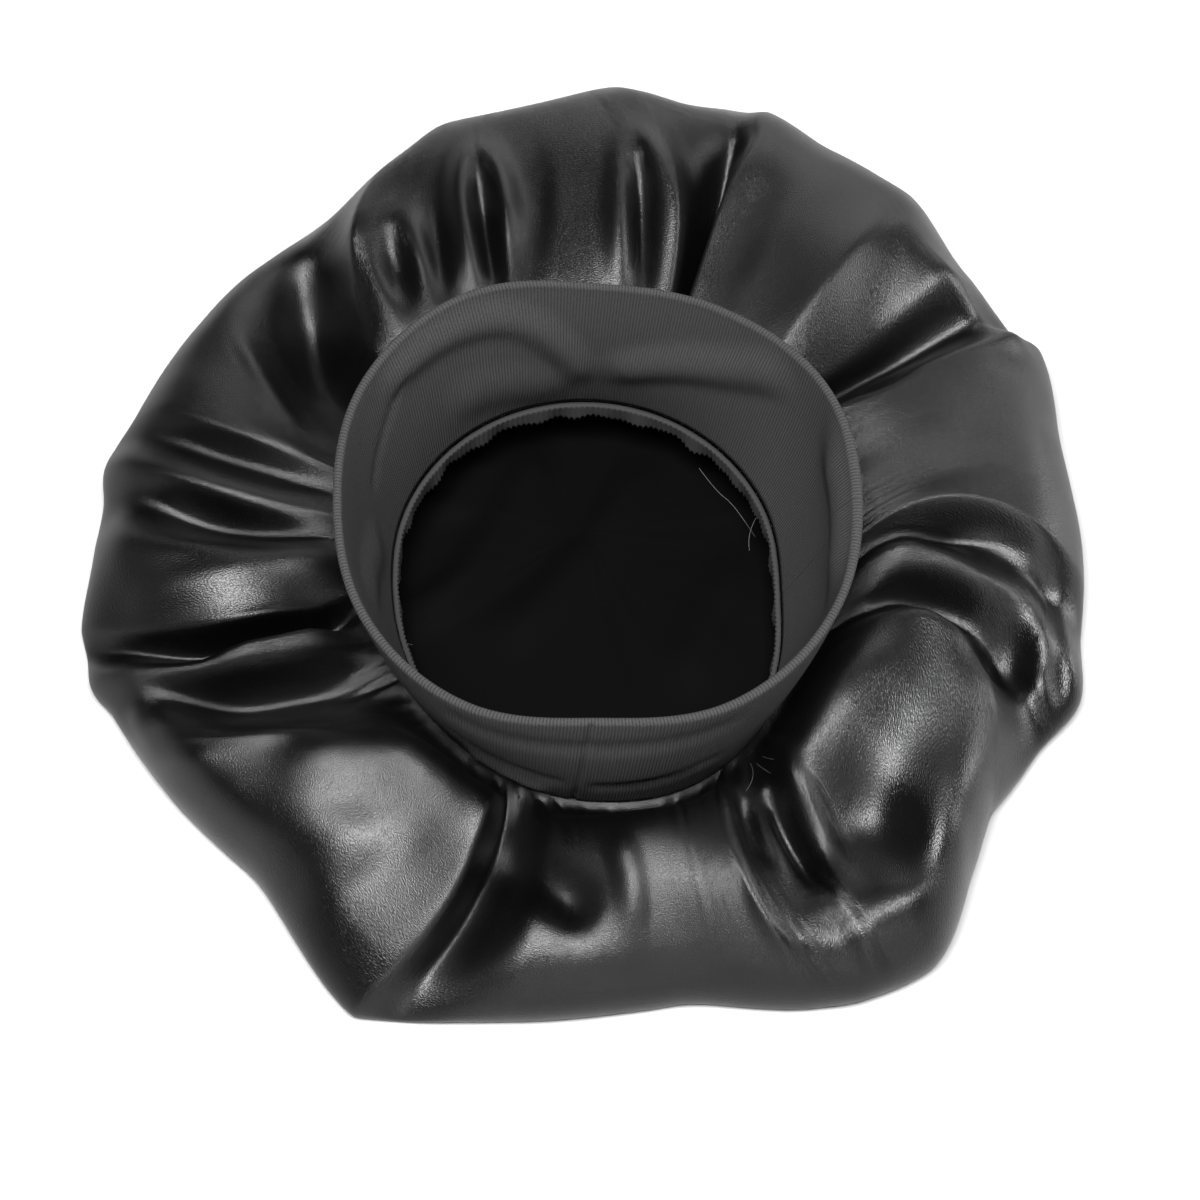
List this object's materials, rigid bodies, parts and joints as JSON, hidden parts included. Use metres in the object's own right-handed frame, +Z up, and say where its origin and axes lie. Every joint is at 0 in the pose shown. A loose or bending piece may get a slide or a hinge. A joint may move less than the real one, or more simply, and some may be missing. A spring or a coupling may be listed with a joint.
{
  "type": "sleep bonnet",
  "caption": "Satin sleep bonnet lying on its crown with the opening up: a round gathered bag on a wide double knit band.",
  "frame": {"origin": "on the surface that the bonnet rests on, under the middle of the crown's outline", "axes": "+Z up out of the opening, +X to the right and -Y towards the side with the band's closing seam"},
  "size_m": [0.3427, 0.3684, 0.091],
  "materials": {
    "satin": "smooth black satin, dull on the inside",
    "knit": "matte dark grey elastic knit with a fine rib",
    "overlock_thread": "matte black overlocked edge"
  },
  "bodies": {
    "root": {"crown": "satin", "band": "knit", "seam_allowance": "overlock_thread"}
  },
  "joints": []
}
